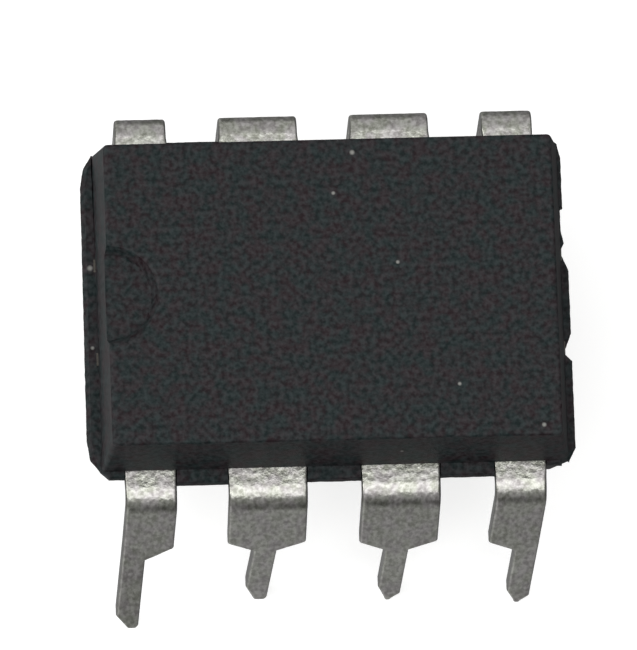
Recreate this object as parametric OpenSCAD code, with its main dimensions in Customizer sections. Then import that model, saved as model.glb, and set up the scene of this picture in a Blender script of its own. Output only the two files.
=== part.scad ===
// Dual in-line package: 8 leads on a 2.54 mm pitch, in two rows 7.62 mm apart.
// A moulded epoxy body over a stamped lead frame, with a die bonded to the paddle
// and a wire from each bond pad to its lead.
// Origin: centre of the lead pattern, on the plane where the shoulders sit on a board.
// +X runs along the rows away from the notched end, +Z points away from the board.

/* [Leads] */
// Spacing of the leads along a row
pitch = 2.54; // [2.1:0.01:3.1]
// Straight length of each shoulder between the side of the body and its bend
shoulder_flat = 0.31; // [0.25:0.01:1]
// Thickness of the lead frame sheet
lead_t = 0.25; // [0.2:0.01:0.3]
// Width of a foot, the part of a lead that enters a board hole
foot_w = 0.46; // [0.38:0.01:0.56]
// Width of the shoulder of an inner lead
shoulder_w = 1.52; // [1.2:0.01:1.83]
// Width of the shoulder of an end lead
end_shoulder_w = 0.99; // [0.76:0.01:1.2]
// Outer radius of the bend at a shoulder
bend_r = 0.45; // [0.35:0.01:0.55]
// Length of a foot along its lean, from the seating plane to its point
foot_len = 3.23; // [2.6:0.01:3.9]
// Height over which a shoulder tapers into its foot
taper_len = 0.46; // [0.3:0.01:0.7]
// Outward lean of each shoulder in degrees, before the leads are pressed to the board
shoulder_lean = [9, 7, 8.5, 10.5, -5, -4, -4.5, -4];
// Outward lean of each foot in degrees
foot_lean = [14.5, 6, 6.5, 7.5, -4, -4.5, -4, -5];
// Sideways lean of each shoulder in degrees
shoulder_side = [-0.8, 0.8, 0.4, -1.9, 0.5, 0, 0.5, 0];
// Sideways lean of each foot in degrees
foot_side = [-1.9, -2.4, -1.7, -1.4, 0.5, -0.5, 0, 0.5];
// Sideways offset of each lead from its place on the pitch
lead_shift = [-0.015, -0.04, -0.02, 0.01, 0, 0, 0, 0];
// Left end of the flat on each point, from the middle, as a share of the foot's width
point_left = [-0.01, -0.09, -0.12, -0.12, -0.1, -0.1, -0.1, -0.1];
// Right end of the flat on each point, from the middle, as a share of the foot's width
point_right = [0.46, 0.46, 0.12, 0.12, 0.1, 0.1, 0.1, 0.1];
// Height of the sheared cut to the left of each flat
left_cut = [0.46, 0.65, 0.65, 0.56, 0.35, 0.35, 0.35, 0.35];
// Height of the sheared cut to the right of each flat
right_cut = [0.05, 0.05, 0.3, 0.3, 0.3, 0.3, 0.3, 0.3];
// How far each shoulder widens on its left between the bend and the body
left_flare = [0.02, 0.02, 0.02, 0.02, 0, 0.05, 0.05, 0.05];
// How far each shoulder widens on its right between the bend and the body
right_flare = [0.02, 0.02, 0.02, 0.02, -0.06, 0.05, 0.05, 0.04];

/* [Moulded body] */
// Distance from the middle of an end lead to the end of the body
end_margin = 0.7; // [0.6:0.01:1.2]
// Width of the body at the parting line
body_w = 6.35; // [5.3:0.01:7.62]
// Height of the body above the middle of the lead frame
body_up = 1.5; // [1.3:0.01:1.9]
// Depth of the body below the middle of the lead frame
body_down = 1.5; // [1.3:0.01:1.8]
// Gap between the seating plane and the underside of the body
stand_off = 0.5; // [0.38:0.01:0.8]
// Draft of the upper half of the mould in degrees
draft_up = 7.5; // [3:0.1:12]
// Draft of the lower half of the mould in degrees
draft_down = 9; // [3:0.1:12]
// Radius on the edges of the two flat faces
edge_r = 0.07; // [0.03:0.01:0.15]
// Radius of the half-round notch at the end by lead 1
notch_r = 1; // [0.6:0.01:1.2]
// Depth of the notch
notch_depth = 0.3; // [0.15:0.01:0.8]
// How far the wall of the notch slopes inwards on its way down
notch_slope = 0.14; // [0.05:0.01:0.3]
// How far the resin beside leads 1 to 4 stands out, in order along the row
front_webs = [0.13, 0.27, 0.26, 0.24, 0.06];
// How far the resin beside leads 5 to 8 stands out, in order along the row
back_webs = [0.1, 0.18, 0.18, 0.21, 0.04];
// How far the parting flash stands out of the notched end
notch_end_flash = 0.25; // [0.05:0.01:0.3]
// How far the parting flash stands out of the plain end
plain_end_flash = 0.14; // [0.05:0.01:0.2]

/* [Paddle] */
// Length of the paddle that carries the die
paddle_l = 3.3; // [2.75:0.01:3.96]
// Width of the paddle
paddle_w = 2.4; // [2:0.01:2.5]
// How far the paddle is set down below the lead frame
paddle_down = 0.2; // [0.1:0.01:0.24]
// Width of a tie bar between the paddle and the end of the body
tie_w = 0.25; // [0.2:0.01:0.4]
// Distance of each tie bar from the centre line
tie_y = 0.93; // [0.7:0.01:0.95]
// How far the trimmed tie bars stand out of the notched end
tie_out = 0.02; // [0.01:0.01:0.1]
// Width of the inner fingers of the leads
finger_w = 0.5; // [0.4:0.01:0.6]
// Gap between the paddle and the inner fingers, and between fingers
finger_gap = 0.2; // [0.15:0.01:0.25]

/* [Die] */
// Length of the die
die_l = 1.9; // [1.5:0.01:2.3]
// Width of the die
die_w = 1.5; // [1.2:0.01:1.8]
// Thickness of the die
die_t = 0.28; // [0.2:0.01:0.4]
// Thickness of the bond layer under the die
attach_t = 0.03; // [0.02:0.01:0.06]
// How far the bond layer runs out past the die
attach_margin = 0.06; // [0.02:0.01:0.1]
// Thickness of a bond wire
wire_t = 0.04; // [0.025:0.005:0.05]
// Rise of a bond wire above its pad
loop_h = 0.2; // [0.12:0.01:0.3]

/* [Hidden] */
$fn = 64;

row_leads = 4;
// Length by which a cutting shape runs past what it cuts
over = 0.5;

// Levels of the body and of the lead frame
frame_z = stand_off + body_down;
frame_low = frame_z - lead_t / 2;
frame_top = frame_z + lead_t / 2;
body_top = frame_z + body_up;
half_w = body_w / 2;
end_x = pitch * (row_leads - 1) / 2;
half_l = end_x + end_margin;

// Bend of a front lead, drawn with this many steps
bend_steps = 16;
bend_y = -half_w - shoulder_flat;
bend_z = frame_top - bend_r;
// Straight length that the bent part shares with the flat part of a lead
bend_lap = 0.05;

// Inner fingers of the front leads
finger_tip_y = -paddle_w / 2 - finger_gap;
end_finger_y = finger_tip_y - finger_w;
end_finger_x = max(paddle_l / 2, pitch / 2 + finger_w / 2) + finger_gap;
// Inner end of the wide part of a lead
root_gap = 0.3;
root_y = end_finger_y - root_gap;
// Notches that lock a lead into the resin, just inside the side of the body
lock_y = -half_w + 0.12;
lock_w = 0.25;
lock_in = 0.2;

// Levels of the paddle and of what it carries
paddle_z = frame_low - paddle_down;
die_z = paddle_z + lead_t + attach_t;
die_top = die_z + die_t;
// Each tie bar rises from the paddle to the lead frame over this length
tie_rise_from = paddle_l / 2 + 0.15;
tie_rise_len = 0.35;
// Length that a tie bar shares with the paddle
tie_lap = 0.2;

// Bond pads: distance from the edge of the die, and from its centre lines
pad_in = 0.15;
inner_pad_x = die_l / 2 - 0.5;
end_pad_y = die_w / 2 - 0.45;
// Flat stitch of a wire on its lead, and its distance from the finger's end
stitch_len = 0.12;
stitch_in = 0.1;
loop_steps = 8;
// Straight rise of a wire off its pad
wire_rise = 0.05;

// Sizes of the end flash: its taper at each corner of the body
flash_taper = 0.28;
flash_long_taper = 0.65;
flash_patch = 1.3;
flash_mid = 0.62;
flash_chip = 0.14;
// How far the flash was torn back at each tie bar, and how little of it is left beside one
flash_torn = 0.02;

resin = [0.2, 0.21, 0.22];
tin = [0.66, 0.67, 0.65];
alloy = [0.6, 0.59, 0.56];
silver_epoxy = [0.75, 0.75, 0.72];
silicon = [0.35, 0.37, 0.45];
gold = [0.9, 0.72, 0.3];

// ---- Places of the leads ----
// Leads 1 to 4 run along the front from the notched end. Leads 5 to 8 are a half turn of
// them, so each has the plan of the front lead that is four lower.
function plan_of(pin) = pin > row_leads ? pin - row_leads : pin;
function lead_x(pin) = (plan_of(pin) - 1) * pitch - end_x;
function first_in_row(pin) = plan_of(pin) == 1;
function last_in_row(pin) = plan_of(pin) == row_leads;
function at_end(pin) = first_in_row(pin) || last_in_row(pin);
// An end lead is straight along its outer side and widens inwards only
function shoulder_left(pin) =
    first_in_row(pin) ? -foot_w / 2
    : last_in_row(pin) ? foot_w / 2 - end_shoulder_w : -shoulder_w / 2;
function shoulder_right(pin) =
    first_in_row(pin) ? end_shoulder_w - foot_w / 2
    : last_in_row(pin) ? foot_w / 2 : shoulder_w / 2;

// ---- Outlines ----
// Outline of a strip of the given thickness along a path of points
function left_of(p, q) = [p[1] - q[1], q[0] - p[0]] / norm(q - p);
function strip_corner(path, i, h) =
    let (last = len(path) - 1,
         a = left_of(path[max(i - 1, 0)], path[max(i, 1)]),
         b = left_of(path[min(i, last - 1)], path[min(i + 1, last)]),
         m = (a + b) / norm(a + b))
    path[i] + m * h / (m * a);
function strip(path, t) = concat(
    [for (i = [0 : len(path) - 1]) strip_corner(path, i, t / 2)],
    [for (i = [len(path) - 1 : -1 : 0]) strip_corner(path, i, -t / 2)]);

// Points of an arc from one angle to another
function arc(centre, r, from, to, steps) =
    [for (i = [0 : steps]) let (a = from + (to - from) * i / steps) centre + r * [cos(a), sin(a)]];
function flipped(points) = [for (i = [len(points) - 1 : -1 : 0]) [-points[i][0], points[i][1]]];

// Drafted section of the body: the parting line is at height 0
function round_in(draft) = edge_r * tan(45 + draft / 2);
function half_section(half) =
    let (low = half - body_down * tan(draft_down), high = half - body_up * tan(draft_up))
    concat(
        arc([low - round_in(-draft_down), edge_r - body_down], edge_r, -90, -draft_down, 4),
        [[half, 0]],
        arc([high - round_in(-draft_up), body_up - edge_r], edge_r, draft_up, 90, 4));
function body_section(half) = concat(half_section(half), flipped(half_section(half)));

// Flash at the plain end, drawn for an end at x = 0: chipped where it was trimmed
function plain_flash_outline() =
    let (f = plain_end_flash, w = half_w)
    [[-over, -w + flash_taper], [0, -w], [f, -w + flash_taper], [f, -tie_y - tie_w],
     [-flash_torn, -tie_y - tie_w / 3], [f - flash_chip / 2, -tie_y + tie_w / 2],
     [f, -flash_mid], [f, flash_mid], [f - flash_chip / 2, tie_y - tie_w / 2],
     [-flash_torn, tie_y + tie_w / 4], [f / 2, tie_y + tie_w],
     [flash_torn, tie_y + 2 * tie_w], [flash_torn, w - flash_patch - flash_torn],
     [f / 2, w - flash_patch], [f / 2, w - flash_taper], [0, w], [-over, w - flash_taper]];
// Flash at the notched end, drawn the same way: whole, and tapered at its corners
function notch_flash_outline() =
    let (f = notch_end_flash, w = half_w)
    [[-over, -w + flash_taper], [0, -w], [f * 0.7, -w + flash_taper],
     [f * 0.96, -w + flash_long_taper], [f * 1.08, w - flash_long_taper],
     [f * 0.85, w - flash_taper], [0, w], [-over, w - flash_taper]];

// ---- Moulded body ----
module section_x(half) {
    rotate([90, 0, 90]) translate([0, 0, -half_l - over]) linear_extrude(2 * (half_l + over))
        polygon(body_section(half));
}

module section_y(half) {
    rotate([90, 0, 0]) translate([0, 0, -half_w - over]) linear_extrude(2 * (half_w + over))
        polygon(body_section(half));
}

// Resin that filled the lead frame out to the dam bar, drawn along the front row
module resin_web(depths) {
    edges = concat([-half_l + flash_taper / 2],
                   [for (pin = [1 : row_leads]) lead_x(pin)], [half_l - flash_taper / 2]);
    for (i = [0 : row_leads])
        translate([edges[i], -half_w - depths[i], frame_low])
            cube([edges[i + 1] - edges[i], depths[i] + over, lead_t]);
}

module end_flash(outline) {
    translate([half_l, 0, frame_low]) linear_extrude(lead_t) polygon(outline);
}

module moulding() {
    difference() {
        translate([0, 0, frame_z]) intersection() {
            section_x(half_w);
            section_y(half_l);
        }
        translate([body_up * tan(draft_up) - half_l, 0, body_top - notch_depth])
            cylinder(r1 = notch_r - notch_slope, r2 = notch_r + notch_slope,
                     h = 2 * notch_depth);
    }
    resin_web(front_webs);
    rotate([0, 0, 180]) resin_web(back_webs);
    end_flash(plain_flash_outline());
    rotate([0, 0, 180]) end_flash(notch_flash_outline());
}

module moulded_body() {
    color(resin) difference() {
        moulding();
        for (pin = [1 : 2 * row_leads]) lead(pin);
        paddle();
        attach_layer();
        die_block();
        for (pin = [1 : 2 * row_leads]) bond_wire(pin);
    }
}

// ---- Leads ----
// Side view of the bent part of a front lead: y to the right, z up
module bent_profile(pin) {
    lean = shoulder_lean[pin - 1];
    foot = foot_lean[pin - 1];
    bend = arc([bend_y, bend_z], bend_r - lead_t / 2, 90, 180 - lean, bend_steps);
    hip = bend[bend_steps];
    knee = [hip[0] - hip[1] * tan(lean), 0];
    toe = knee - (foot_len + over) * [sin(foot), cos(foot)];
    polygon(strip(concat([[bend_y + bend_lap, frame_z]], bend, [knee, toe]), lead_t));
}

// Sideways place of the middle of a foot at a height below the bend
function side_at(pin, z) =
    (bend_z - max(z, 0)) * tan(shoulder_side[pin - 1]) + max(-z, 0) * tan(foot_side[pin - 1]);
function beside(pin, x, z) = [x + side_at(pin, z), z];

// Front view of a lead: x to the right, z up
module face_outline(pin) {
    i = pin - 1;
    left = shoulder_left(pin);
    right = shoulder_right(pin);
    tip_z = -foot_len * cos(foot_lean[i]);
    polygon([
        [left, frame_top + over], [left, bend_z], beside(pin, left, 0),
        beside(pin, -foot_w / 2, -taper_len), beside(pin, -foot_w / 2, tip_z + left_cut[i]),
        beside(pin, point_left[i] * foot_w, tip_z), beside(pin, point_right[i] * foot_w, tip_z),
        beside(pin, foot_w / 2, tip_z + right_cut[i]), beside(pin, foot_w / 2, -taper_len),
        beside(pin, right, 0), [right, bend_z], [right, frame_top + over]]);
}

// Finger of an end lead, which turns in towards the corner of the paddle
module end_finger(pin) {
    inward = first_in_row(pin) ? 1 : -1;
    outer = -foot_w / 2;
    tip = end_x - end_finger_x;
    corners = [
        [outer, root_y - over], [outer + finger_w, root_y - over],
        [outer + finger_w, end_finger_y], [tip, end_finger_y],
        [tip, finger_tip_y], [outer, finger_tip_y]];
    polygon([for (p = corners) [inward * p[0], p[1]]]);
}

// Plan of the flat part of a front lead, from the bend to the tip of its finger
module flat_outline(pin) {
    left = shoulder_left(pin);
    right = shoulder_right(pin);
    difference() {
        union() {
            polygon([[left, bend_y], [right, bend_y], [right + right_flare[pin - 1], lock_y],
                     [right, root_y], [left, root_y], [left - left_flare[pin - 1], lock_y]]);
            if (at_end(pin)) end_finger(pin);
            else translate([-finger_w / 2, root_y - over])
                square([finger_w, finger_tip_y - root_y + over]);
        }
        translate([left - over + lock_in, lock_y]) square([over, lock_w]);
        translate([right - lock_in, lock_y]) square([over, lock_w]);
    }
}

module lead(pin) {
    rotate([0, 0, pin > row_leads ? 180 : 0])
    translate([lead_x(pin) + lead_shift[pin - 1], 0, 0]) {
        intersection() {
            rotate([90, 0, 90]) translate([0, 0, -pitch]) linear_extrude(2 * pitch)
                bent_profile(pin);
            rotate([90, 0, 0]) linear_extrude(half_w + 2 * foot_len) face_outline(pin);
        }
        translate([0, 0, frame_low]) linear_extrude(lead_t) flat_outline(pin);
    }
}

module tinned_lead(pin) {
    color(tin) lead(pin);
}

// ---- Paddle, die and wires ----
// Side view of a tie bar, from the paddle out to the end face of the body
module tie_profile(end) {
    up = paddle_z + lead_t / 2;
    polygon(strip([[paddle_l / 2 - tie_lap, up], [tie_rise_from, up],
                   [tie_rise_from + tie_rise_len, frame_z], [end, frame_z]], lead_t));
}

module paddle() {
    translate([-paddle_l / 2, -paddle_w / 2, paddle_z]) cube([paddle_l, paddle_w, lead_t]);
    for (y = [-tie_y, tie_y]) {
        translate([0, y + tie_w / 2, 0]) rotate([90, 0, 0]) linear_extrude(tie_w)
            tie_profile(half_l);
        translate([0, y - tie_w / 2, 0]) rotate([90, 0, 180]) linear_extrude(tie_w)
            tie_profile(half_l + tie_out);
    }
}

module die_paddle() {
    color(alloy) paddle();
}

module attach_layer() {
    grow = 2 * attach_margin;
    translate([-(die_l + grow) / 2, -(die_w + grow) / 2, die_z - attach_t])
        cube([die_l + grow, die_w + grow, attach_t]);
}

module die_attach() {
    color(silver_epoxy) attach_layer();
}

module die_block() {
    translate([-die_l / 2, -die_w / 2, die_z]) cube([die_l, die_w, die_t]);
}

module silicon_die() {
    color(silicon) die_block();
}

// Bond pad of a front lead on the die, and the middle of its stitch on the lead
function pad_at(pin) =
    let (side = lead_x(pin) < 0 ? -1 : 1)
    at_end(pin) ? [side * (die_l / 2 - pad_in), -end_pad_y]
    : [side * inner_pad_x, pad_in - die_w / 2];
function stitch_at(pin) =
    let (side = lead_x(pin) < 0 ? -1 : 1)
    at_end(pin) ? [side * (end_finger_x + finger_w / 2), finger_tip_y - finger_w / 2]
    : [lead_x(pin), finger_tip_y - stitch_in - stitch_len];

// Centre line of a wire over a span: up from the pad, over, and down to a flat stitch
function loop_point(span, t) =
    let (foot = span - stitch_len, high = die_top + loop_h * 4 / 3, low = frame_top + wire_t / 2,
         u = 1 - t)
    u * u * u * [0, die_top + wire_rise] + 3 * u * u * t * [0, high]
    + 3 * u * t * t * [foot / 2, high] + t * t * t * [foot, low];
function wire_path(span) = concat(
    [[0, die_top]],
    [for (i = [0 : loop_steps]) loop_point(span, i / loop_steps)],
    [[span, frame_top + wire_t / 2]]);

module bond_wire(pin) {
    from = pad_at(pin);
    to = stitch_at(pin);
    run = to - from;
    rotate([0, 0, pin > row_leads ? 180 : 0]) translate([from[0], from[1], 0])
        rotate([90, 0, atan2(run[1], run[0])]) translate([0, 0, -wire_t / 2])
            linear_extrude(wire_t) polygon(strip(wire_path(norm(run)), wire_t));
}

module gold_wire(pin) {
    color(gold) bond_wire(pin);
}

moulded_body();
tinned_lead(1);  // lead_1
tinned_lead(2);  // lead_2
tinned_lead(3);  // lead_3
tinned_lead(4);  // lead_4
tinned_lead(5);  // lead_5
tinned_lead(6);  // lead_6
tinned_lead(7);  // lead_7
tinned_lead(8);  // lead_8
die_paddle();
die_attach();
silicon_die();
gold_wire(1);  // bond_wire_1
gold_wire(2);  // bond_wire_2
gold_wire(3);  // bond_wire_3
gold_wire(4);  // bond_wire_4
gold_wire(5);  // bond_wire_5
gold_wire(6);  // bond_wire_6
gold_wire(7);  // bond_wire_7
gold_wire(8);  // bond_wire_8
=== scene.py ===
"""Looks of a dual in-line integrated circuit with eight leads.

The moulded body and the leads are built here in finer detail than the CAD solids they
stand for. The parts sealed inside the body keep their CAD shapes and get their finishes.
Sizes are in millimetres in every class, and in metres once they reach a mesh.
"""

from __future__ import annotations

import logging
import math
from dataclasses import dataclass, field
from enum import Enum

import bmesh
import bpy
from mathutils import Matrix, Vector, noise

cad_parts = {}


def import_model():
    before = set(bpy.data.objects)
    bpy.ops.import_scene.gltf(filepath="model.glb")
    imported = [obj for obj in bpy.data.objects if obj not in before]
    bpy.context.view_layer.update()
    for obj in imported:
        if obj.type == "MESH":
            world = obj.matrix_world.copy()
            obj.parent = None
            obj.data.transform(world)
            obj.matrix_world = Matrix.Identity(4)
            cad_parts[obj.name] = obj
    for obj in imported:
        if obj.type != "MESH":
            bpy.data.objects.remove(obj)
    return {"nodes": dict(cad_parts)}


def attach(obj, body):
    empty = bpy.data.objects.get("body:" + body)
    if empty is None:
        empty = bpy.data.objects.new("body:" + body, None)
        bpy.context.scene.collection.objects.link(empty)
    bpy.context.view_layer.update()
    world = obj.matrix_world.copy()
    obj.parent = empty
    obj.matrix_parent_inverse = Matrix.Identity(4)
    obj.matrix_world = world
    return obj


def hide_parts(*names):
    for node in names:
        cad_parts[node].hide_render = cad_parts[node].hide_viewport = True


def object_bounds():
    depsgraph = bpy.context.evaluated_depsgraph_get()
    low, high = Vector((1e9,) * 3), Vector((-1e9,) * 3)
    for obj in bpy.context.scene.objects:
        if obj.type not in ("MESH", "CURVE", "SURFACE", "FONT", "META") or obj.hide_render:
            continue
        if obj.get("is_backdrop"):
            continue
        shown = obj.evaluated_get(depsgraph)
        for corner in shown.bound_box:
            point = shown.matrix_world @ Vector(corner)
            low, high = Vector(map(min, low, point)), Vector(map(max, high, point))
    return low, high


log = logging.getLogger("integrated_circuit")

MM = 0.001
BODY = "root"

Point = tuple[float, float]


class Row(Enum):
    """The row a lead stands in, with the turn in degrees that takes a front lead there."""

    FRONT = 0.0
    BACK = 180.0


class Place(Enum):
    """Where a lead stands along its row."""

    FIRST = "first"
    INNER = "inner"
    LAST = "last"


class Cut(Enum):
    """What a boolean does with its tools."""

    JOIN = "UNION"
    REMOVE = "DIFFERENCE"


# ---- Helpers ----


def linear(code: str) -> tuple[float, float, float, float]:
    """Turn an sRGB colour into the linear one that the shader takes.

    Args:
        code: The colour as six hex digits.

    Returns:
        Red, green, blue and an alpha of 1, all linear.
    """
    parts = [int(code[i : i + 2], 16) / 255 for i in (0, 2, 4)]
    red, green, blue = (
        c / 12.92 if c <= 0.04045 else ((c + 0.055) / 1.055) ** 2.4 for c in parts
    )
    return red, green, blue, 1.0


def grain(size_mm: float) -> float:
    """Return the noise scale that gives features of a real size in object coordinates."""
    return 1.0 / (size_mm * MM)


def add_node(
    tree: bpy.types.NodeTree,
    kind: str,
    inputs: dict[str | int, object] | None = None,
    **settings: object,
) -> bpy.types.Node:
    """Add a node with its settings, values and links.

    Args:
        tree: The node tree that gets the node.
        kind: The node's type name.
        inputs: For each input, by name or number, the socket to link or the value to set.
        settings: Attributes to set on the node.

    Returns:
        The new node.
    """
    node = tree.nodes.new(kind)
    for name, value in settings.items():
        setattr(node, name, value)
    for key, value in (inputs or {}).items():
        if isinstance(value, bpy.types.NodeSocket):
            tree.links.new(value, node.inputs[key])
        else:
            node.inputs[key].default_value = value
    return node


def two_tone(
    tree: bpy.types.NodeTree,
    share: bpy.types.NodeSocket,
    low: tuple[float, str],
    high: tuple[float, str],
) -> bpy.types.NodeSocket:
    """Blend between two colours as a pattern's value goes from one stop to another.

    Args:
        tree: The node tree.
        share: The socket that gives the pattern's value.
        low: The value up to which the first colour is whole, and that colour.
        high: The value from which the second colour is whole, and that colour.

    Returns:
        The socket of the blended colour.
    """
    ramp = add_node(tree, "ShaderNodeValToRGB", {"Fac": share})
    for stop, (place, code) in zip(ramp.color_ramp.elements, (low, high)):
        stop.position, stop.color = place, linear(code)
    return ramp.outputs["Color"]


def new_material(
    name: str,
) -> tuple[bpy.types.Material, bpy.types.NodeTree, bpy.types.Node]:
    """Make a material with nodes, and return it with its node tree and its shader."""
    made = bpy.data.materials.new(name)
    made.use_nodes = True
    tree = made.node_tree
    return made, tree, tree.nodes["Principled BSDF"]


def noise_at(
    tree: bpy.types.NodeTree,
    place: bpy.types.NodeSocket,
    size_mm: float,
    detail: float,
    roughness: float = 0.5,
) -> bpy.types.NodeSocket:
    """Add noise with features of a real size, and return the socket of its value.

    Args:
        tree: The node tree.
        place: The socket that gives object coordinates.
        size_mm: The size of its features, in millimetres.
        detail: The number of finer layers.
        roughness: How strong the finer layers are.

    Returns:
        The socket of the noise, from 0 to 1.
    """
    values = {
        "Vector": place,
        "Scale": grain(size_mm),
        "Detail": detail,
        "Roughness": roughness,
    }
    return add_node(tree, "ShaderNodeTexNoise", values).outputs["Fac"]


def mix_colours(
    tree: bpy.types.NodeTree, share: object, first: object, second: object
) -> bpy.types.NodeSocket:
    """Mix two colours and return the socket of the result.

    Args:
        tree: The node tree.
        share: The share of the second colour, as a socket or a number.
        first: The first colour, as a socket or four numbers.
        second: The second colour, as a socket or four numbers.

    Returns:
        The socket of the mixed colour.
    """
    mix = add_node(
        tree, "ShaderNodeMix", {0: share, 6: first, 7: second}, data_type="RGBA"
    )
    return mix.outputs[2]


def map_range(
    tree: bpy.types.NodeTree,
    value: bpy.types.NodeSocket,
    ends: Point,
    results: Point,
) -> bpy.types.NodeSocket:
    """Map a value between two ends to one between two results.

    Args:
        tree: The node tree.
        value: The socket that gives the value.
        ends: The values that give the first and the second result.
        results: The two results, past which the outcome never goes.

    Returns:
        The socket of the outcome.
    """
    values = {
        "Value": value,
        "From Min": ends[0],
        "From Max": ends[1],
        "To Min": results[0],
        "To Max": results[1],
    }
    return add_node(tree, "ShaderNodeMapRange", values).outputs["Result"]


def maths(
    tree: bpy.types.NodeTree, operation: str, *values: object
) -> bpy.types.NodeSocket:
    """Add a maths node for one or two values, and return the socket of its result."""
    node = add_node(tree, "ShaderNodeMath", dict(enumerate(values)), operation=operation)
    return node.outputs["Value"]


def relief(
    tree: bpy.types.NodeTree, height: bpy.types.NodeSocket, depth_mm: float
) -> bpy.types.NodeSocket:
    """Turn a pattern into fine relief of a real depth, and return its normal."""
    values = {"Height": height, "Distance": depth_mm * MM, "Strength": 1.0}
    return add_node(tree, "ShaderNodeBump", values).outputs["Normal"]


def mesh_object(
    name: str, points: list[Vector], faces: list[tuple[int, ...]]
) -> bpy.types.Object:
    """Make a mesh object from points in millimetres.

    Args:
        name: The object's name.
        points: Its vertices, in millimetres.
        faces: Its faces, as numbers of vertices.

    Returns:
        The object, linked to the scene, with outward faces.
    """
    mesh = bpy.data.meshes.new(name)
    mesh.from_pydata([p * MM for p in points], [], faces)
    work = bmesh.new()
    work.from_mesh(mesh)
    bmesh.ops.recalc_face_normals(work, faces=work.faces)
    work.to_mesh(mesh)
    work.free()
    made = bpy.data.objects.new(name, mesh)
    bpy.context.scene.collection.objects.link(made)
    return made


def loft(name: str, rings: list[list[Vector]]) -> bpy.types.Object:
    """Skin a closed solid over a run of rings.

    Args:
        name: The object's name.
        rings: Closed rings with the same number of points, in millimetres.

    Returns:
        The object, with its first and last ring capped.
    """
    count = len(rings[0])
    faces = [
        (
            i * count + j,
            i * count + (j + 1) % count,
            (i + 1) * count + (j + 1) % count,
            (i + 1) * count + j,
        )
        for i in range(len(rings) - 1)
        for j in range(count)
    ]
    faces.append(tuple(range(count)))
    faces.append(tuple(range((len(rings) - 1) * count, len(rings) * count)))
    return mesh_object(name, [p for ring in rings for p in ring], faces)


def arc(centre: Point, radius: float, start: float, end: float, steps: int) -> list[Point]:
    """Return the points of an arc.

    Args:
        centre: The middle of the arc.
        radius: Its radius.
        start: The angle of its first point, in degrees.
        end: The angle of its last point, in degrees.
        steps: The number of steps between them.

    Returns:
        The points, one more than the steps.
    """
    angles = [math.radians(start + (end - start) * i / steps) for i in range(steps + 1)]
    return [
        (centre[0] + radius * math.cos(a), centre[1] + radius * math.sin(a)) for a in angles
    ]


def spread(start: float, end: float, step: float) -> list[float]:
    """Return evenly spaced values from start to end, no further apart than step."""
    count = max(1, math.ceil(abs(end - start) / step))
    return [start + (end - start) * i / count for i in range(count + 1)]


def ripple(x: float, y: float, z: float, size: float) -> float:
    """Return smooth noise between about -1 and 1, with features of the given size."""
    return noise.noise(Vector((x, y, z)) / size)


def combine(target: bpy.types.Object, tools: list[bpy.types.Object], cut: Cut) -> None:
    """Join tools to a solid or take them out of it, and drop the tools.

    Args:
        target: The solid that changes.
        tools: The closed solids that act on it.
        cut: Whether they are joined or removed.
    """
    for tool in tools:
        change = target.modifiers.new(tool.name, "BOOLEAN")
        change.operation = cut.value
        change.solver = "MANIFOLD"
        change.object = tool
    graph = bpy.context.evaluated_depsgraph_get()
    mesh = bpy.data.meshes.new_from_object(target.evaluated_get(graph))
    target.modifiers.clear()
    target.data = mesh
    for tool in tools:
        bpy.data.objects.remove(tool)


def cad_solid(node: bpy.types.Object) -> bpy.types.Object:
    """Copy a CAD node as one closed solid that can be used as a tool.

    Args:
        node: The CAD node, which stays as it is.

    Returns:
        A new object with the node's shape and its doubled vertices merged.
    """
    work = bmesh.new()
    work.from_mesh(node.data)
    bmesh.ops.remove_doubles(work, verts=work.verts, dist=0.0001 * MM)
    mesh = bpy.data.meshes.new(f"{node.name}_tool")
    work.to_mesh(mesh)
    work.free()
    made = bpy.data.objects.new(mesh.name, mesh)
    bpy.context.scene.collection.objects.link(made)
    return made


# ---- Finishes ----


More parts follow.
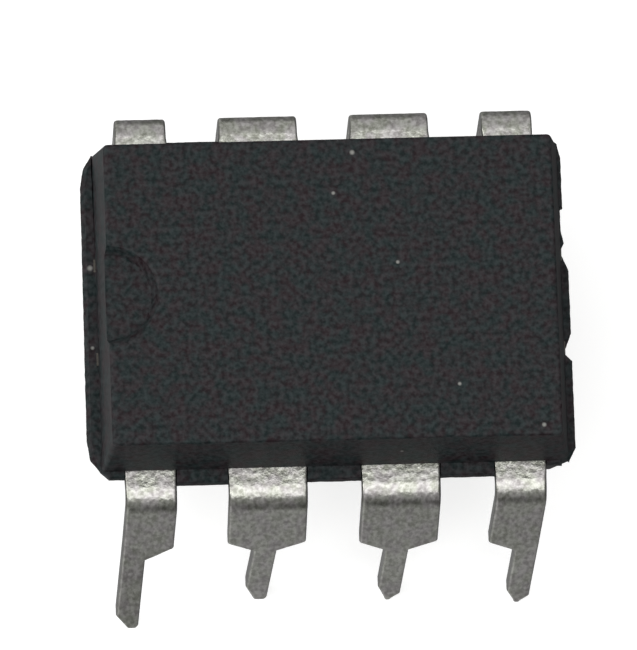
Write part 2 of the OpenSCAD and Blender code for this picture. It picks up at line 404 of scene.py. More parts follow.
@dataclass(frozen=True)
class MouldedEpoxy:
    """Silica-filled epoxy compound, transfer moulded against a spark-eroded steel cavity.

    The eroded steel leaves a fine matt grain. The filler shows as faint mottling, with a
    few pale specks of bare silica where it breaks the skin.
    """

    name: str = "moulded_epoxy"
    dark: str = "0C0D0E"
    light: str = "36393A"
    green_tint: str = "162B2B"
    red_tint: str = "321E24"
    speck: str = "82827E"
    tint_share: float = 0.36
    mottle_mm: float = 0.1
    mottle_stops: Point = (0.35, 0.65)
    tint_mm: float = 0.32
    tint_roughness: float = 0.6
    tint_stops: Point = (0.38, 0.62)
    grain_mm: float = 0.045
    cell_mm: float = 0.5
    speck_mm: float = 0.035
    speck_share: float = 0.14
    roughness: float = 0.55
    rough_range: float = 0.14
    ior: float = 1.5
    specular: float = 0.12
    bump_mm: float = 0.006
    # Grains of bare silica large enough to stand out: their places and radii
    grains: tuple[tuple[float, float, float, float], ...] = (
        (0.47, 2.70, 3.5, 0.04),
        (0.08, 1.90, 3.5, 0.03),
        (1.27, 0.50, 3.5, 0.03),
        (2.37, -1.94, 3.5, 0.03),
        (3.96, -2.79, 3.5, 0.035),
        (-4.6, 0.89, 2.12, 0.045),
        (-4.6, -0.7, 2.12, 0.03),
        (1.25, -3.05, 2.8, 0.03),
    )

    def material(self) -> bpy.types.Material:
        """Build the compound's material."""
        made, tree, shader = new_material(self.name)
        place = add_node(tree, "ShaderNodeTexCoord").outputs["Object"]
        mottle = noise_at(tree, place, self.mottle_mm, 3.0)
        low, high = self.mottle_stops
        base = two_tone(tree, mottle, (low, self.dark), (high, self.light))
        tint = noise_at(tree, place, self.tint_mm, 3.0, self.tint_roughness)
        low, high = self.tint_stops
        hue = two_tone(tree, tint, (low, self.green_tint), (high, self.red_tint))
        tinted = mix_colours(tree, self.tint_share, base, hue)
        colour = mix_colours(tree, self.specks(tree, place), tinted, linear(self.speck))
        half_range = self.rough_range / 2
        rough = map_range(
            tree,
            mottle,
            (0.0, 1.0),
            (self.roughness - half_range, self.roughness + half_range),
        )
        fine = noise_at(tree, place, self.grain_mm, 3.0)
        tree.links.new(colour, shader.inputs["Base Color"])
        tree.links.new(rough, shader.inputs["Roughness"])
        tree.links.new(relief(tree, fine, self.bump_mm), shader.inputs["Normal"])
        shader.inputs["IOR"].default_value = self.ior
        shader.inputs["Specular IOR Level"].default_value = self.specular
        return made

    def specks(
        self, tree: bpy.types.NodeTree, place: bpy.types.NodeSocket
    ) -> bpy.types.NodeSocket:
        """Return the pattern of bare silica: fine specks at random and the large grains."""
        cells = add_node(
            tree, "ShaderNodeTexVoronoi", {"Vector": place, "Scale": grain(self.cell_mm)}
        )
        chosen = maths(tree, "LESS_THAN", cells.outputs["Color"], self.speck_share)
        reach = self.speck_mm / self.cell_mm
        near = map_range(tree, cells.outputs["Distance"], (0.5 * reach, reach), (1.0, 0.0))
        shown = maths(tree, "MULTIPLY", near, chosen)
        for x, y, z, radius in self.grains:
            away = add_node(
                tree,
                "ShaderNodeVectorMath",
                {0: place, 1: (x * MM, y * MM, z * MM)},
                operation="DISTANCE",
            )
            ends = (0.5 * radius * MM, 1.5 * radius * MM)
            here = map_range(tree, away.outputs["Value"], ends, (1.0, 0.0))
            shown = maths(tree, "MAXIMUM", shown, here)
        return shown


@dataclass(frozen=True)
class TinPlate:
    """Electroplated tin on stamped nickel-iron strip, handled and a little tarnished.

    Plated tin is soft and pale grey with a satin sheen. Handling dents it, and the oxide
    on it is faintly olive, with patches that lean to violet. The strip's sheared sides are
    almost bare, and painted dark as painted shade. The rolled grain runs down the lead.
    """

    name: str = "tin_plate"
    bright: str = "DCDCD6"
    dull: str = "8E8E86"
    olive: str = "A0A395"
    violet: str = "AAA1A8"
    # Painted shade: the dark tone painted on faces as they turn sideways, which are the
    # sheared sides
    sheared: str = "4A4A46"
    side_shade_share: float = 0.85
    # How far a face turns to the side, from where the painted shade starts to where it is
    # whole
    side_shade_ends: Point = (0.35, 0.8)
    # How much the pattern is drawn out down the lead: less than 1 makes it longer
    along: float = 0.4
    fleck_stops: Point = (0.36, 0.64)
    patch_stops: Point = (0.42, 0.6)
    rough_ends: Point = (0.3, 0.7)
    tarnish_share: float = 0.4
    patch_mm: float = 0.3
    fleck_mm: float = 0.08
    dent_mm: float = 0.08
    roughness: float = 0.34
    rough_range: float = 0.16
    dent_depth_mm: float = 0.008

    def material(self) -> bpy.types.Material:
        """Build the plating's material."""
        made, tree, shader = new_material(self.name)
        source = add_node(tree, "ShaderNodeTexCoord").outputs
        place = add_node(
            tree,
            "ShaderNodeVectorMath",
            {0: source["Object"], 1: (1.0, 1.0, self.along)},
            operation="MULTIPLY",
        ).outputs["Vector"]
        fleck = noise_at(tree, place, self.fleck_mm, 4.0)
        low, high = self.fleck_stops
        base = two_tone(tree, fleck, (low, self.dull), (high, self.bright))
        patch = noise_at(tree, place, self.patch_mm, 3.0)
        low, high = self.patch_stops
        hue = two_tone(tree, patch, (low, self.olive), (high, self.violet))
        plated = mix_colours(tree, self.tarnish_share, base, hue)
        # Painted shade: faces that turn sideways are painted with the dark sheared tone
        facing = add_node(tree, "ShaderNodeSeparateXYZ", {"Vector": source["Normal"]})
        sideways = maths(tree, "ABSOLUTE", facing.outputs["X"])
        side = map_range(tree, sideways, self.side_shade_ends, (0.0, self.side_shade_share))
        half_range = self.rough_range / 2
        rough = map_range(
            tree,
            patch,
            self.rough_ends,
            (self.roughness - half_range, self.roughness + half_range),
        )
        dents = noise_at(tree, place, self.dent_mm, 2.0)
        colour = mix_colours(tree, side, plated, linear(self.sheared))
        tree.links.new(colour, shader.inputs["Base Color"])
        tree.links.new(rough, shader.inputs["Roughness"])
        tree.links.new(relief(tree, dents, self.dent_depth_mm), shader.inputs["Normal"])
        shader.inputs["Metallic"].default_value = 1.0
        return made


@dataclass(frozen=True)
class InnerFinish:
    """Plain finish of a part sealed in the resin: two tones in a fine pattern."""

    name: str
    dark: str
    light: str
    pattern_mm: float
    roughness: float
    metallic: float
    bump_mm: float = 0.002

    def material(self) -> bpy.types.Material:
        """Build the material."""
        made, tree, shader = new_material(self.name)
        place = add_node(tree, "ShaderNodeTexCoord").outputs["Object"]
        pattern = noise_at(tree, place, self.pattern_mm, 4.0)
        colour = mix_colours(tree, pattern, linear(self.dark), linear(self.light))
        tree.links.new(colour, shader.inputs["Base Color"])
        tree.links.new(relief(tree, pattern, self.bump_mm), shader.inputs["Normal"])
        shader.inputs["Roughness"].default_value = self.roughness
        shader.inputs["Metallic"].default_value = self.metallic
        return made


# Rolled nickel-iron strip: unplated under the resin and dulled by the heat of moulding
ROLLED_ALLOY = InnerFinish("rolled_alloy", "45433F", "625F59", 0.06, 0.5, 1.0)
# Silver-filled epoxy: flake in a dull binder
SILVER_EPOXY = InnerFinish("silver_epoxy", "8E8D86", "C9C8C0", 0.03, 0.6, 0.4)
# Polished silicon under its passivation: a dark mirror with a faint blue cast
POLISHED_SILICON = InnerFinish(
    "polished_silicon", "2A2D38", "4A4E60", 0.12, 0.15, 0.6, bump_mm=0.0005
)
# Drawn gold wire
DRAWN_GOLD = InnerFinish("drawn_gold", "C8963A", "E8BC5C", 0.02, 0.25, 1.0, bump_mm=0.001)


# ---- Leads ----


@dataclass
class Station:
    """One cross-section of a lead along its path."""

    middle: Vector
    outward: Vector
    left: float
    right: float


@dataclass(frozen=True)
class LeadForm:
    """How one lead leans, in degrees, and how its point was sheared.

    The ends of the point's flat are shares of the foot's width. The cuts are heights, and
    the flares are how far the shoulder widens between its bend and the body.
    """

    shoulder_lean: float
    foot_lean: float
    shoulder_side: float
    foot_side: float
    shift: float
    point_left: float
    point_right: float
    left_cut: float
    right_cut: float
    left_flare: float
    right_flare: float


@dataclass
class Lead:
    """One stamped and bent lead, from its inner finger to its sheared point."""

    number: int
    place: Place
    row: Row
    x: float
    form: LeadForm
    body_half_width: float = 3.175
    shoulder_flat: float = 0.31
    thickness: float = 0.25
    bend_radius: float = 0.45
    frame_z: float = 2.0
    foot_width: float = 0.46
    foot_length: float = 3.23
    inner_width: float = 1.52
    end_width: float = 0.99
    taper_length: float = 0.46
    finger_width: float = 0.5
    finger_tip_y: float = -1.4
    finger_reach: float = 1.85
    end_x: float = 3.81
    root_gap: float = 0.3
    lock_y: float = 0.12
    lock_width: float = 0.25
    lock_in: float = 0.2
    # Rounded by the punch on the outer side, left almost sharp on the other
    rolled_edge: float = 0.06
    sheared_edge: float = 0.012
    edge_steps: int = 4
    across: int = 30
    step: float = 0.04
    hair: float = 0.002
    smooth_below: float = 35
    bend_steps: int = 24
    dent: float = 0.005
    dent_size: float = 0.35
    dimple: float = 0.006
    dimple_size: float = 0.1
    # Places in the noise: one stretch for each lead, and the dimples away from the dents
    dent_spacing: float = 10
    dimple_offset: float = 5

    def shoulder(self) -> Point:
        """Return the left and right edge of the shoulder, from the middle of the foot."""
        half = self.foot_width / 2
        if self.place is Place.FIRST:
            return -half, self.end_width - half
        if self.place is Place.LAST:
            return half - self.end_width, half
        return -self.inner_width / 2, self.inner_width / 2

    def inner_stations(self) -> list[Station]:
        """Return the stations of the flat part, from the finger's tip to the bend."""
        left, right = self.shoulder()
        half = self.finger_width / 2
        tip, end = self.finger_tip_y, self.finger_tip_y - self.finger_width
        root = end - self.root_gap
        side = -self.body_half_width
        lock = side + self.lock_y + self.lock_width
        spans: list[tuple[float, float, float, float]] = []
        if self.place is Place.INNER:
            spans.append((tip, root, -half, half))
        else:
            outer, reach = -self.foot_width / 2, self.end_x - self.finger_reach
            if self.place is Place.FIRST:
                spans.append((tip, end, outer, reach))
                spans.append((end, root, outer, outer + self.finger_width))
            else:
                spans.append((tip, end, -reach, -outer))
                spans.append((end, root, -outer - self.finger_width, -outer))
        spans.append((root, lock, left, right))
        outside = lock - self.lock_width
        spans.append((lock, outside, left + self.lock_in, right - self.lock_in))
        stations = []
        for start, stop, low, high in spans:
            for y in spread(start, stop, self.step):
                middle = Vector((0, y, self.frame_z))
                stations.append(Station(middle, Vector((0, 0, 1)), low, high))
        bend = side - self.shoulder_flat
        for y in spread(outside, bend, self.step):
            share = (y - bend) / (outside - bend)
            low = left - self.form.left_flare * share
            high = right + self.form.right_flare * share
            stations.append(
                Station(Vector((0, y, self.frame_z)), Vector((0, 0, 1)), low, high)
            )
        return self.parted(stations)

    def parted(self, stations: list[Station]) -> list[Station]:
        """Move the second of two stations at one place on a hair, so that both can stay."""
        for before, after in zip(stations, stations[1:]):
            if (after.middle - before.middle).length < self.hair / 2:
                after.middle.y -= self.hair
        return stations

    def edges_at(self, z: float, bend_z: float, tip_z: float) -> Point:
        """Return the left and right edge of the bent part at a height.

        Args:
            z: The height.
            bend_z: The height at which the bend begins, above which the edges are upright.
            tip_z: The height of the point.

        Returns:
            The two places across the lead, from the middle of a foot that leans nowhere.
        """
        form, half = self.form, self.foot_width / 2
        left, right = self.shoulder()
        taper = min(max(-z / self.taper_length, 0.0), 1.0)
        low, high = left + (-half - left) * taper, right + (half - right) * taper
        up = z - tip_z
        low_cut = min(max(1 - up / form.left_cut, 0.0), 1.0)
        high_cut = min(max(1 - up / form.right_cut, 0.0), 1.0)
        low += (form.point_left * self.foot_width - low) * low_cut
        high += (form.point_right * self.foot_width - high) * high_cut
        shoulder_slope = math.tan(math.radians(form.shoulder_side))
        foot_slope = math.tan(math.radians(form.foot_side))
        side = max(bend_z - max(z, 0.0), 0.0) * shoulder_slope + max(-z, 0.0) * foot_slope
        return low + side, high + side

    def bent_stations(self) -> list[Station]:
        """Return the stations of the bend, the shoulder and the foot."""
        lean = math.radians(self.form.shoulder_lean)
        foot = math.radians(self.form.foot_lean)
        bend_y = -self.body_half_width - self.shoulder_flat
        bend_z = self.frame_z + self.thickness / 2 - self.bend_radius
        tip_z = -self.foot_length * math.cos(foot)
        mid_radius = self.bend_radius - self.thickness / 2
        placed: list[tuple[Vector, Vector]] = []
        for i in range(1, self.bend_steps + 1):
            angle = math.radians(90) + (math.radians(90) - lean) * i / self.bend_steps
            out = Vector((0, math.cos(angle), math.sin(angle)))
            placed.append((Vector((0, bend_y, bend_z)) + out * mid_radius, out))
        hip, square = placed[-1]
        knee_y = hip.y - hip.z * math.tan(lean)
        for z in spread(hip.z, 0.0, self.step)[1:-1]:
            placed.append((Vector((0, hip.y - (hip.z - z) * math.tan(lean), z)), square))
        level = Vector((0, -1 / math.cos(foot), 0))
        cuts = {tip_z + self.form.left_cut, tip_z + self.form.right_cut, tip_z}
        stops = sorted({0.0, -self.taper_length} | cuts, reverse=True)
        heights = [stops[0]]
        for start, stop in zip(stops, stops[1:]):
            heights += spread(start, stop, self.step)[1:]
        placed += [(Vector((0, knee_y + z * math.tan(foot), z)), level) for z in heights]
        return [
            Station(middle, out, *self.edges_at(middle.z, bend_z, tip_z))
            for middle, out in placed
        ]

    def ring(self, station: Station) -> list[Vector]:
        """Return the rounded section at a station.

        Args:
            station: The cross-section's place and edges.

        Returns:
            The ring of points, the same number for each station.
        """
        half = self.thickness / 2
        width = station.right - station.left
        roll = min(self.rolled_edge, width / 3)
        shear = min(self.sheared_edge, width / 3)
        low, high = station.left, station.right
        outline = arc((high - roll, half - roll), roll, 0, 90, self.edge_steps)
        inner = spread(high - roll, low + roll, (width - 2 * roll) / (self.across - 0.5))
        outline += [(x, half) for x in inner[1:-1]]
        outline += arc((low + roll, half - roll), roll, 90, 180, self.edge_steps)
        outline += arc((low + shear, shear - half), shear, 180, 270, self.edge_steps)
        inner = spread(low + shear, high - shear, (width - 2 * shear) / (self.across - 0.5))
        outline += [(x, -half) for x in inner[1:-1]]
        outline += arc((high - shear, shear - half), shear, 270, 360, self.edge_steps)
        return [
            Vector((x, 0, 0))
            + station.middle
            + station.outward * self.dented(x, up, station)
            for x, up in outline
        ]

    def dented(self, x: float, up: float, station: Station) -> float:
        """Sink a point of the section by the small dents that handling leaves.

        Args:
            x: The point's place across the lead.
            up: Its height above the middle of the strip.
            station: The cross-section it is on.

        Returns:
            The height with the dents taken off, never above the plain one.
        """
        y, z = station.middle.y, station.middle.z
        own = x + self.dent_spacing * self.number
        hollow = self.dent * (0.5 + 0.5 * ripple(own, y, z, self.dent_size))
        apart = own + self.dimple_offset
        hollow += self.dimple * max(ripple(apart, y, z, self.dimple_size), 0.0)
        return up - math.copysign(max(hollow, 0.0), up)

    def build(self) -> bpy.types.Object:
        """Build the lead in its place."""
        stations = self.inner_stations() + self.bent_stations()
        turn = Matrix.Rotation(math.radians(self.row.value), 4, "Z")
        shift = Vector((self.x + self.form.shift, 0, 0))
        rings = [[turn @ (shift + p) for p in self.ring(s)] for s in stations]
        made = loft(f"lead_{self.number}_detailed", rings)
        made.data.set_sharp_from_angle(angle=math.radians(self.smooth_below))
        return made


@dataclass
class LeadSet:
    """The eight leads, numbered round the body from the notched end."""

    pitch: float = 2.54
    forms: tuple[LeadForm, ...] = (
        LeadForm(9, 14.5, -0.8, -1.9, -0.015, -0.01, 0.46, 0.46, 0.05, 0.02, 0.02),
        LeadForm(7, 6, 0.8, -2.4, -0.04, -0.09, 0.46, 0.65, 0.05, 0.02, 0.02),
        LeadForm(8.5, 6.5, 0.4, -1.7, -0.02, -0.12, 0.12, 0.65, 0.3, 0.02, 0.02),
        LeadForm(10.5, 7.5, -1.9, -1.4, 0.01, -0.12, 0.12, 0.56, 0.3, 0.02, 0.02),
        LeadForm(-5, -4, 0.5, 0.5, 0, -0.1, 0.1, 0.35, 0.3, 0, -0.06),
        LeadForm(-4, -4.5, 0, -0.5, 0, -0.1, 0.1, 0.35, 0.3, 0.05, 0.05),
        LeadForm(-4.5, -4, 0.5, 0, 0, -0.1, 0.1, 0.35, 0.3, 0.05, 0.05),
        LeadForm(-4, -5, 0, 0.5, 0, -0.1, 0.1, 0.35, 0.3, 0.05, 0.04),
    )
    plating: TinPlate = field(default_factory=TinPlate)

    def build(self) -> list[bpy.types.Object]:
        """Build and plate every lead."""
        plate = self.plating.material()
        half_run = 1.5 * self.pitch
        made = []
        for i, form in enumerate(self.forms):
            order = i % 4
            place = {0: Place.FIRST, 3: Place.LAST}.get(order, Place.INNER)
            lead = Lead(
                i + 1,
                place,
                Row.FRONT if i < 4 else Row.BACK,
                order * self.pitch - half_run,
                form,
            ).build()
            lead.data.materials.append(plate)
            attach(lead, BODY)
            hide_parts(f"lead_{i + 1}")
            # Rough plating throws no light patches on the body beside it
            lead.visible_diffuse = False
            log.info("%s: %d faces", lead.name, len(lead.data.polygons))
            made.append(lead)
        return made


# ---- Moulded body ----


@dataclass
class MouldedBody:
    """The body: two drafted halves, the end notch, and the resin squeezed out between."""

    half_length: float = 4.51
    half_width: float = 3.175
    up: float = 1.5
    down: float = 1.5
    frame_z: float = 2.0
    draft_up: float = 7.5
    draft_down: float = 9.0
    edge: float = 0.07
    corner: float = 0.09
    edge_steps: int = 6
    notch_radius: float = 1.0
    notch_depth: float = 0.3
    notch_slope: float = 0.14
    notch_floor_edge: float = 0.07
    notch_floor_steps: int = 4
    notch_lip: float = 0.03
    notch_core: float = 0.02
    notch_turns: int = 72
    lead_thickness: float = 0.25
    # Resin squeezed out between the halves and beside the leads
    notch_end_flash: float = 0.25
    plain_end_flash: float = 0.14
    flash_swell: tuple[float, float, float, float] = (0.7, 0.96, 1.08, 0.85)
    flash_taper: float = 0.28
    flash_long_taper: float = 0.65
    flash_mid: float = 0.62
    flash_torn: float = 0.02
    front_webs: tuple[float, ...] = (0.13, 0.27, 0.26, 0.24, 0.06)
    back_webs: tuple[float, ...] = (0.1, 0.18, 0.18, 0.21, 0.04)
    flash_patch: float = 1.3
    web_margin: float = 0.14
    into_body: float = 0.5
    under_edge: float = 0.03
    parting_edge: float = 0.008
    worn: float = 0.035
    notch_end_worn: float = 0.09
    worn_slope: float = 1.1
    outline_step: float = 0.05
    rag: float = 0.014
    rag_size: float = 0.14
    fine_rag_size: float = 0.05
    pitch: float = 2.54
    tie_y: float = 0.93
    tie_width: float = 0.25
    compound: MouldedEpoxy = field(default_factory=MouldedEpoxy)

    def level(self, z: float, inset: float) -> list[Vector]:
        """Return the rounded rectangle of the body at one height.

        Args:
            z: The height above the parting line.
            inset: How far the sides are in from the parting line.

        Returns:
            The ring of points.
        """
        x, y = self.half_length - inset, self.half_width - inset
        r = self.corner
        flat: list[Point] = []
        for sx, sy, start in ((1, 1, 0), (-1, 1, 90), (-1, -1, 180), (1, -1, 270)):
            centre = (sx * (x - r), sy * (y - r))
            flat += arc(centre, r, start, start + 90, self.edge_steps)
        return [Vector((px, py, self.frame_z + z)) for px, py in flat]

    def block(self) -> bpy.types.Object:
        """Build the two drafted halves with rounded edges."""
        up, down = math.radians(self.draft_up), math.radians(self.draft_down)
        e = self.edge
        low_in = self.down * math.tan(down) + e * math.tan(math.pi / 4 - down / 2)
        top_in = self.up * math.tan(up) + e * math.tan(math.pi / 4 - up / 2)
        steps = self.edge_steps
        profile = arc((-low_in, e - self.down), e, -90, -self.draft_down, steps)
        profile.append((0.0, 0.0))
        profile += arc((-top_in, self.up - e), e, self.draft_up, 90, steps)
        return loft("moulded_body_detailed", [self.level(z, -x) for x, z in profile])

    def notch(self) -> bpy.types.Object:
        """Build the tool that cuts the notch, with a rounded floor and a broken lip."""
        centre = Vector(
            (
                self.up * math.tan(math.radians(self.draft_up)) - self.half_length,
                0,
                self.frame_z + self.up,
            )
        )
        floor_r = self.notch_radius - self.notch_slope
        e, lip, core = self.notch_floor_edge, self.notch_lip, self.notch_core
        profile = [(core, -self.notch_depth)]
        rounded = arc((floor_r - e, e), e, -90, 0, self.notch_floor_steps)
        profile += [(r, z - self.notch_depth) for r, z in rounded]
        profile += [
            (self.notch_radius - lip, -lip),
            (self.notch_radius + lip, 0.0),
            (self.notch_radius + 4 * lip, 4 * lip),
            (core, 4 * lip),
        ]
        angles = [2 * math.pi * i / self.notch_turns for i in range(self.notch_turns)]
        rings = [
            [centre + Vector((r * math.cos(a), r * math.sin(a), z)) for a in angles]
            for r, z in profile
        ]
        return loft("notch_tool", rings)

    def slab(
        self, name: str, outline: list[Point], seed: float, worn: float
    ) -> bpy.types.Object:
        """Build a flat piece of squeezed-out resin with a ragged edge.

        Args:
            name: The object's name.
            outline: Its plan, which the ragged edge never passes.
            seed: Where in the noise its edge is drawn.
            worn: How far its upper edge is worn back.

        Returns:
            The slab, as thick as the lead frame.
        """
        fine: list[Point] = []
        for a, b in zip(outline, outline[1:] + outline[:1]):
            count = max(1, math.ceil(math.dist(a, b) / self.outline_step))
            fine += [
                (a[0] + (b[0] - a[0]) * i / count, a[1] + (b[1] - a[1]) * i / count)
                for i in range(count)
            ]
        pairs = zip(fine, fine[1:] + fine[:1])
        twice_area = sum(a[0] * b[1] - a[1] * b[0] for a, b in pairs)
        turn = 1.0 if twice_area > 0 else -1.0
        half, edge = self.lead_thickness / 2, self.parting_edge
        profile = (
            (-half, self.under_edge),
            (-half + self.under_edge, edge),
            (0.0, 0.0),
            (half - edge - self.worn_slope * worn, edge),
            (half - edge, worn),
        )
        rings = []
        for z, inset in profile:
            ring = []
            for i, (x, y) in enumerate(fine):
                before, after = fine[i - 1], fine[(i + 1) % len(fine)]
                along = Vector((after[0] - before[0], after[1] - before[1], 0)).normalized()
                inward = Vector((-along.y, along.x, 0)) * turn
                back = inset + self.rag * self.raggedness(x, y, z, seed)
                ring.append(Vector((x, y, self.frame_z + z)) + inward * back)
            rings.append(ring)
        return loft(name, rings)

    def raggedness(self, x: float, y: float, z: float, seed: float) -> float:
        """Return how far the broken edge stands back at a point, from 0 to about 1.5."""
        coarse = 0.5 + 0.5 * ripple(x + seed, y, z, self.rag_size)
        return coarse + 0.5 * (0.5 + 0.5 * ripple(x, y + seed, z, self.fine_rag_size))

    def end_outline(self, notched: bool) -> list[Point]:
        """Return the plan of the flash at one end, drawn for an end at x = 0.

        Args:
            notched: Whether it is the end with the notch.

        Returns:
            The corners of the flash, which runs into the body.
        """
        w, t, into = self.half_width, self.tie_y, -self.into_body
        shoulder = w - self.flash_taper
        if notched:
            long = w - self.flash_long_taper
            swell = [share * self.notch_end_flash for share in self.flash_swell]
            return [
                (into, -shoulder),
                (0, -w),
                (swell[0], -shoulder),
                (swell[1], -long),
                (swell[2], long),
                (swell[3], shoulder),
                (0, w),
                (into, shoulder),
            ]
        f, torn, tie = self.plain_end_flash, self.flash_torn, self.tie_width
        patch = w - self.flash_patch
        return [
            (into, -shoulder),
            (0, -w),
            (f, -shoulder),
            (f, -t - tie),
            (-torn, -t - tie / 3),
            (f / 2, -t + tie / 2),
            (f, -self.flash_mid),
            (f, self.flash_mid),
            (f / 2, t - tie / 2),
            (-torn, t + tie / 4),
            (f / 2, t + tie),
            (torn, t + 2 * tie),
            (torn, patch - torn),
            (f / 2, patch),
            (f / 2, shoulder),
            (0, w),
            (into, shoulder),
        ]

    def web_outline(self, low: float, high: float, depth: float) -> list[Point]:
        """Return the plan of one web of the front row.

        Args:
            low: Where it starts along the row.
            high: Where it ends along the row.
            depth: How far it stands out of the body.

        Returns:
            Its corners. The first web slants back to the corner of the body.
        """
        y = -self.half_width - depth
        inner = y + self.into_body
        plan = [(low, y), (high, y), (high, inner)]
        if low > self.web_margin - self.half_length:
            return [*plan, (low, inner)]
        return [*plan, (-self.half_length, inner), (-self.half_length, y + depth)]

    def squeezed_out(self) -> list[bpy.types.Object]:
        """Build the flash at the ends and the webs beside the leads."""
        made = []
        for notched, side in ((False, 1), (True, -1)):
            plan = [
                (side * (self.half_length + x), side * y)
                for x, y in self.end_outline(notched)
            ]
            worn = self.notch_end_worn if notched else self.worn
            made.append(self.slab(f"end_flash_{side + 1}", plan, 3.0 + side, worn))
        first = -1.5 * self.pitch
        xs = [self.web_margin - self.half_length]
        xs += [first + i * self.pitch for i in range(4)]
        xs.append(self.half_length - self.web_margin)
        for side, depths in ((1, self.front_webs), (-1, self.back_webs)):
            for i, depth in enumerate(depths):
                plan = [
                    (side * x, side * y)
                    for x, y in self.web_outline(xs[i], xs[i + 1], depth)
                ]
                name = f"web_{side + 1}_{i}"
                made.append(self.slab(name, plan, 7.0 * i + side, self.worn))
        return made

    def build(self, nodes: dict[str, bpy.types.Object]) -> bpy.types.Object:
        """Build the body round everything that the resin holds.

        Args:
            nodes: The CAD nodes, by name.

        Returns:
            The body.
        """
        body = self.block()
        combine(body, [self.notch()], Cut.REMOVE)
        combine(body, self.squeezed_out(), Cut.JOIN)
        held = [cad_solid(node) for name, node in nodes.items() if name != "moulded_body"]
        combine(body, held, Cut.REMOVE)
        body.data.materials.clear()
        body.data.materials.append(self.compound.material())
        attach(body, BODY)
        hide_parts("moulded_body")
        log.info("%s: %d faces", body.name, len(body.data.polygons))
        return body


# ---- Parts sealed in the body ----


@dataclass
class SealedParts:
    """The paddle, the die and its wires, which keep their CAD shapes."""

    nodes: dict[str, bpy.types.Object]

    def finish_of(self, name: str) -> InnerFinish | None:
        """Return the finish of a sealed node, or None for a node that isn't one."""
        if name.startswith("bond_wire"):
            return DRAWN_GOLD
        return {
            "die_paddle": ROLLED_ALLOY,
            "die_attach": SILVER_EPOXY,
            "silicon_die": POLISHED_SILICON,
        }.get(name)

    def dress(self) -> None:
        """Give each sealed node its finish."""
        made: dict[str, bpy.types.Material] = {}
        for name, node in sorted(self.nodes.items()):
            finish = self.finish_of(name)
            if finish is None:
                continue
            if finish.name not in made:
                made[finish.name] = finish.material()
            node.data.materials.clear()
            node.data.materials.append(made[finish.name])
            log.info("%s: %s", name, finish.name)


# ---- Studio ----


@dataclass(frozen=True)
class SoftBox:
    """One soft area light aimed at the part."""

    name: str
    azimuth: float
    elevation: float
    distance: float
    size: float
    radiance: float

    def build(self, aim: Vector) -> None:
        """Make the light, aimed at a point in metres."""
        lamp = bpy.data.lights.new(self.name, "AREA")
        lamp.shape = "SQUARE"
        lamp.size = self.size * MM
        lamp.energy = self.radiance * math.pi * (self.size * MM) ** 2
        light = bpy.data.objects.new(self.name, lamp)
        a, e = math.radians(self.azimuth), math.radians(self.elevation)
        out = Vector((-math.sin(a) * math.cos(e), -math.cos(a) * math.cos(e), math.sin(e)))
        light.location = aim + out * self.distance * MM
        light.rotation_mode = "QUATERNION"
        light.rotation_quaternion = (-out).to_track_quat("-Z", "Y")
        bpy.context.scene.collection.objects.link(light)


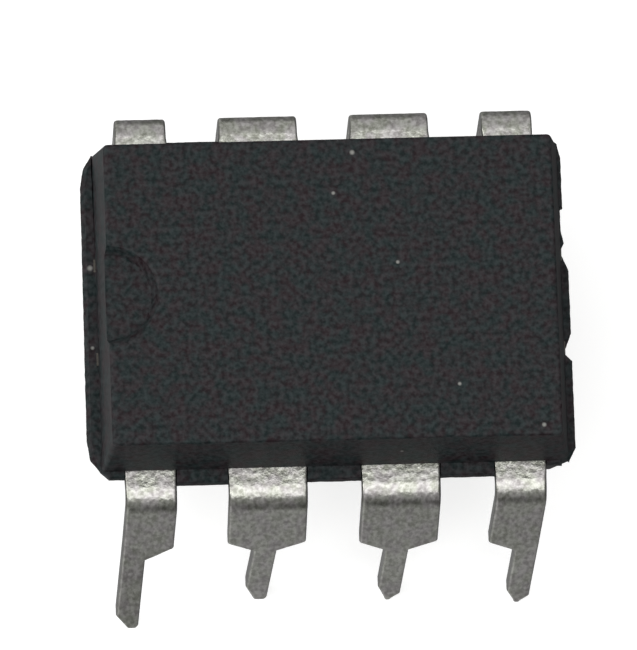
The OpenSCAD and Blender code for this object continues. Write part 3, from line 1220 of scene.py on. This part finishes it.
@dataclass
class Studio:
    """A pale floor, soft lights and a long macro lens from above."""

    azimuth: float = 10.255
    elevation: float = 75.331
    roll: float = 8.5
    distance: float = 292.422
    lens: float = 839.96
    aim_right: float = -0.2145
    aim_up: float = -0.3191
    aim_z: float = 2.0
    clip: Point = (0.01, 10.0)
    floor_half: float = 1500.0
    floor_tone: str = "E6E6E5"
    floor_glow: float = 0.45
    floor_roughness: float = 0.9
    floor_specular: float = 0.1
    # Brightness of the room: in front of and behind the part, below and above its level
    below_front: Point = (0.1, 0.42)
    below_back: float = 0.19
    below_left: float = 0.48
    above: Point = (0.3, 0.62)
    backdrop: float = 0.93
    # Directions, as shares of a unit vector, between which the room's tones change
    downward: Point = (-0.3, -1.0)
    leftward: Point = (0.0, -0.5)
    front_to_back: Point = (-0.1, 0.1)
    low_to_high: Point = (-0.05, 0.05)
    boxes: tuple[SoftBox, ...] = (
        SoftBox("key", 5, 72, 400, 440, 1.7),
        SoftBox("left_fill", 85, 30, 500, 300, 4.0),
    )

    def camera(self) -> None:
        """Place the camera and make it the scene's."""
        a, e, r = (math.radians(v) for v in (self.azimuth, self.elevation, self.roll))
        back = Vector((-math.sin(a) * math.cos(e), -math.cos(a) * math.cos(e), math.sin(e)))
        level = Vector((math.cos(a), -math.sin(a), 0))
        rise = back.cross(level)
        right = math.cos(r) * level + math.sin(r) * rise
        up = math.cos(r) * rise - math.sin(r) * level
        lens = bpy.data.cameras.new("macro")
        lens.lens = self.lens
        lens.clip_start, lens.clip_end = self.clip
        camera = bpy.data.objects.new("macro", lens)
        aim = Vector((0, 0, self.aim_z)) + right * self.aim_right + up * self.aim_up
        spot = Matrix((right, up, back)).transposed().to_4x4()
        spot.translation = (aim + back * self.distance) * MM
        camera.matrix_world = spot
        bpy.context.scene.collection.objects.link(camera)
        bpy.context.scene.camera = camera

    def floor(self, height: float) -> None:
        """Lay the floor at a height in metres."""
        h = self.floor_half
        plan = ((-h, -h), (h, -h), (h, h), (-h, h))
        corners = [Vector((x, y, height / MM)) for x, y in plan]
        floor = mesh_object("floor", corners, [(0, 1, 2, 3)])
        made, _, shader = new_material("floor")
        shader.inputs["Base Color"].default_value = linear(self.floor_tone)
        shader.inputs["Roughness"].default_value = self.floor_roughness
        shader.inputs["Specular IOR Level"].default_value = self.floor_specular
        shader.inputs["Emission Color"].default_value = (1, 1, 1, 1)
        shader.inputs["Emission Strength"].default_value = self.floor_glow
        floor.data.materials.append(made)
        # The part sees the dim room in place of the floor, as on a glossy black table
        floor.visible_glossy = False
        floor.visible_diffuse = False
        floor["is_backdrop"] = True

    def blend(
        self,
        tree: bpy.types.NodeTree,
        share: bpy.types.NodeSocket,
        first: bpy.types.NodeSocket | float,
        second: bpy.types.NodeSocket | float,
    ) -> bpy.types.NodeSocket:
        """Return a value between two others."""
        return add_node(tree, "ShaderNodeMix", {0: share, 2: first, 3: second}).outputs[0]

    def light(self) -> None:
        """Set the room's brightness and the soft boxes."""
        world = bpy.data.worlds.new("studio")
        world.use_nodes = True
        tree = world.node_tree
        toward = add_node(tree, "ShaderNodeTexCoord").outputs["Generated"]
        axes = add_node(tree, "ShaderNodeSeparateXYZ", {"Vector": toward}).outputs
        down = map_range(tree, axes["Z"], self.downward, self.below_front)
        behind = map_range(tree, axes["Y"], self.front_to_back, (0.0, 1.0))
        below = self.blend(tree, behind, down, self.below_back)
        left = map_range(tree, axes["X"], self.leftward, (0.0, self.below_left))
        below = maths(tree, "ADD", below, left)
        above = map_range(tree, axes["Y"], self.front_to_back, self.above)
        over = map_range(tree, axes["Z"], self.low_to_high, (0.0, 1.0))
        room = self.blend(tree, over, below, above)
        seen = add_node(tree, "ShaderNodeLightPath").outputs["Is Camera Ray"]
        strength = self.blend(tree, seen, room, self.backdrop)
        tree.links.new(strength, tree.nodes["Background"].inputs["Strength"])
        tree.nodes["Background"].inputs["Color"].default_value = (1, 1, 1, 1)
        bpy.context.scene.world = world
        aim = Vector((0, 0, self.aim_z)) * MM
        for box in self.boxes:
            box.build(aim)

    def build(self, lowest: float) -> None:
        """Build the whole studio round a part whose lowest point is given in metres."""
        bpy.context.scene.view_settings.view_transform = "Standard"
        self.camera()
        self.floor(lowest)
        self.light()


def main() -> None:
    """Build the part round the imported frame."""
    logging.basicConfig(level=logging.INFO, format="%(name)s: %(message)s")
    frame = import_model()
    cad_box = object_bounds()
    nodes = frame["nodes"]
    MouldedBody().build(nodes)
    LeadSet().build()
    SealedParts(nodes).dress()
    Studio().build(cad_box[0].z)


if __name__ == "__main__":
    main()
